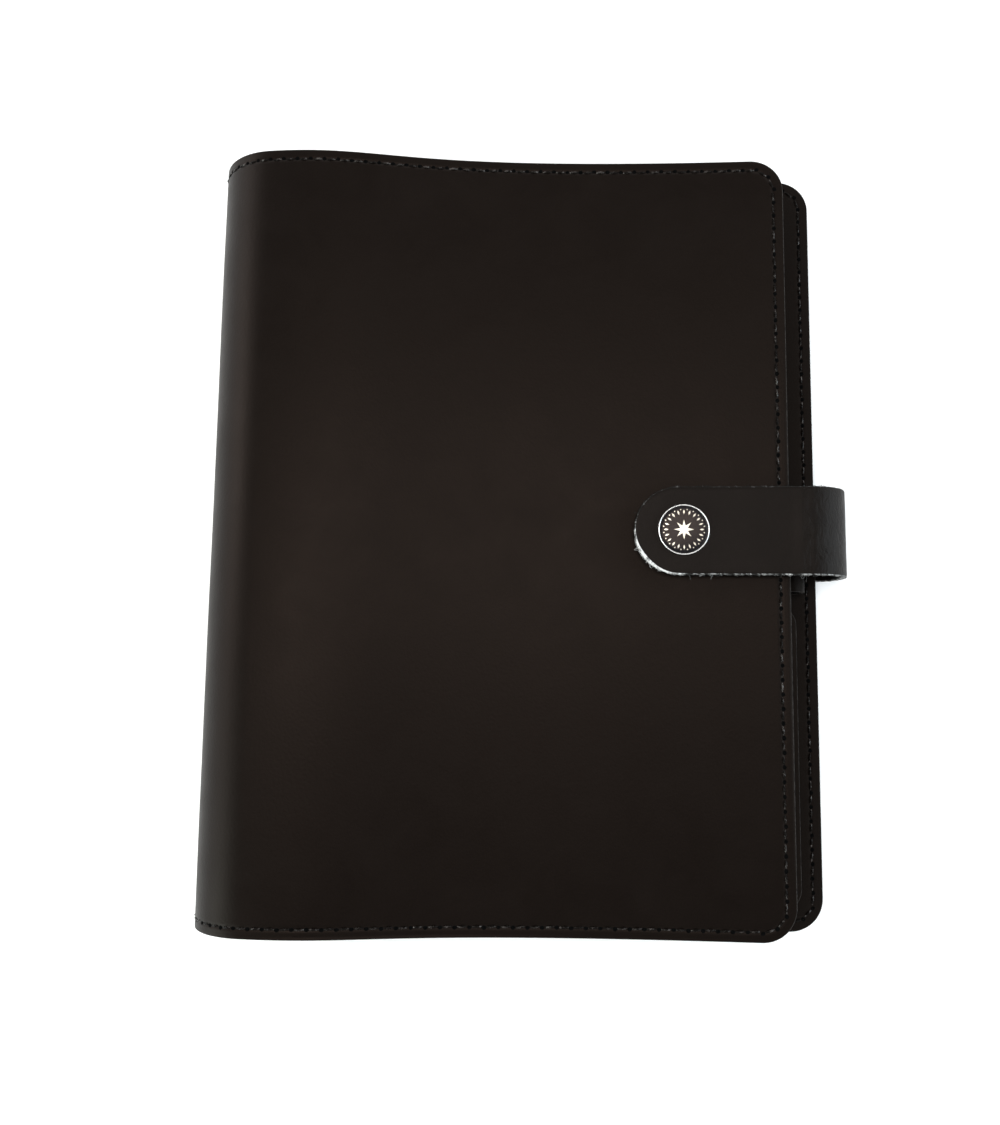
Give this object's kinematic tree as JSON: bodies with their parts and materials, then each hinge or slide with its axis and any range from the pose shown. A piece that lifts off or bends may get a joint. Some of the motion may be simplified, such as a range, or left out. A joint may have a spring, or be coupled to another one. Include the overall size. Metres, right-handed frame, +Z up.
{
  "type": "leather notebook cover",
  "caption": "Soft leather ring-organiser cover with a rounded spine, sewn edges, a ring mechanism, pockets, a pen loop and a press-stud strap.",
  "frame": {"origin": "middle of the bounding box's underside, on the surface that the closed organiser lies on", "axes": "+X from the spine to the fore-edge, +Y towards the head, +Z up out of the front cover"},
  "size_m": [0.1926, 0.233, 0.04],
  "materials": {
    "cover_leather": "smooth black leather, satin",
    "strap_leather": "smooth black leather, satin, raw cut edges",
    "lining_leather": "fine-grained black lining leather, matt",
    "pocket_leather": "fine-grained black lining leather, matt, with cut edges",
    "pen_loop_leather": "thin black leather, matt",
    "board": "plain grey board",
    "snap_cap": "dark enamelled face in a bright polished rim",
    "snap_metal": "nickel-plated press-stud metal",
    "ring_wire": "polished nickel",
    "mechanism_steel": "polished nickel-plated sheet steel"
  },
  "bodies": {
    "back_cover": {"back_leather": "cover_leather", "back_lining": "lining_leather", "back_pocket": "pocket_leather", "pen_loop": "pen_loop_leather", "strap_root": "strap_leather"},
    "back_hinge": {"back_hinge_leather": "cover_leather", "back_hinge_lining": "lining_leather"},
    "spine": {"spine_leather": "cover_leather", "spine_board": "board", "spine_lining": "lining_leather", "ring_shell": "mechanism_steel", "rivet_head": "mechanism_steel", "rivet_foot": "mechanism_steel"},
    "front_hinge": {"front_hinge_leather": "cover_leather", "front_hinge_lining": "lining_leather"},
    "front_cover": {"front_leather": "cover_leather", "front_lining": "lining_leather", "front_pocket": "pocket_leather", "card_pocket_1": "pocket_leather", "card_pocket_2": "pocket_leather", "card_pocket_3": "pocket_leather", "snap_stud": "snap_metal", "snap_post": "snap_metal"},
    "strap_1": {"strap_bend_1": "strap_leather"},
    "strap_2": {"strap_bend_2": "strap_leather"},
    "strap_3": {"strap_bend_3": "strap_leather"},
    "strap_end": {"strap_flap": "strap_leather", "snap_cap": "snap_cap", "snap_socket": "snap_metal"},
    "blade_front": {"blade_front": "mechanism_steel", "ring_front_1": "ring_wire", "ring_front_2": "ring_wire", "ring_front_3": "ring_wire", "ring_front_4": "ring_wire", "ring_front_5": "ring_wire", "ring_front_6": "ring_wire"},
    "blade_back": {"blade_back": "mechanism_steel", "ring_back_1": "ring_wire", "ring_back_2": "ring_wire", "ring_back_3": "ring_wire", "ring_back_4": "ring_wire", "ring_back_5": "ring_wire", "ring_back_6": "ring_wire"},
    "lever_head": {"lever_head": "mechanism_steel"},
    "lever_foot": {"lever_foot": "mechanism_steel"}
  },
  "joints": [
    {"name": "back_fold", "type": "hinge", "parent": "back_cover", "child": "back_hinge", "pos_m": [-0.084, 0, 0.00152], "axis": [0, -1, 0], "range_deg": [0, 45]},
    {"name": "back_fold_2", "type": "hinge", "parent": "back_hinge", "child": "spine", "pos_m": [-0.09483, 0, 0.01235], "axis": [0, -1, 0], "range_deg": [0, 45]},
    {"name": "front_fold", "type": "hinge", "parent": "spine", "child": "front_hinge", "pos_m": [-0.09483, 0, 0.02765], "axis": [0, -1, 0], "range_deg": [0, 48.5]},
    {"name": "front_fold_2", "type": "hinge", "parent": "front_hinge", "child": "front_cover", "pos_m": [-0.084, 0, 0.03848], "axis": [0, -1, 0], "range_deg": [0, 48.5]},
    {"name": "strap_fold", "type": "hinge", "parent": "back_cover", "child": "strap_1", "pos_m": [0.09071, 0.0008, 0.00042], "axis": [0, 1, 0], "range_deg": [0, 44]},
    {"name": "strap_fold_2", "type": "hinge", "parent": "strap_1", "child": "strap_2", "pos_m": [0.0952, 0.0008, 0.00545], "axis": [0, 1, 0], "range_deg": [0, 44]},
    {"name": "strap_fold_3", "type": "hinge", "parent": "strap_2", "child": "strap_3", "pos_m": [0.09549, 0.0008, 0.01584], "axis": [0, 1, 0], "range_deg": [0, 44]},
    {"name": "strap_fold_4", "type": "hinge", "parent": "strap_3", "child": "strap_end", "pos_m": [0.08919, 0.0008, 0.0221], "axis": [0, 1, 0], "range_deg": [0, 44]},
    {"name": "ring_open", "type": "hinge", "parent": "spine", "child": "blade_front", "pos_m": [-0.08855, 0, 0.0265], "axis": [0, -1, 0], "range_deg": [0, 16]},
    {"name": "ring_open_back", "type": "hinge", "parent": "spine", "child": "blade_back", "pos_m": [-0.08855, 0, 0.0135], "axis": [0, -1, 0], "range_deg": [-16, 0]},
    {"name": "lever_head_tilt", "type": "hinge", "parent": "spine", "child": "lever_head", "pos_m": [-0.08895, 0.1037, 0.02], "axis": [0, 0, 1], "range_deg": [0, 28]},
    {"name": "lever_foot_tilt", "type": "hinge", "parent": "spine", "child": "lever_foot", "pos_m": [-0.08895, -0.1037, 0.02], "axis": [0, 0, -1], "range_deg": [0, 28]}
  ],
  "couplings": [
    {"joint": "back_fold_2", "follows": "back_fold", "ratio": 1},
    {"joint": "front_fold_2", "follows": "front_fold", "ratio": 1},
    {"joint": "strap_fold_2", "follows": "strap_fold", "ratio": 1},
    {"joint": "strap_fold_3", "follows": "strap_fold", "ratio": 1},
    {"joint": "strap_fold_4", "follows": "strap_fold", "ratio": 1},
    {"joint": "ring_open_back", "follows": "ring_open", "ratio": -1},
    {"joint": "lever_head_tilt", "follows": "ring_open", "ratio": 1.75},
    {"joint": "lever_foot_tilt", "follows": "ring_open", "ratio": 1.75}
  ]
}
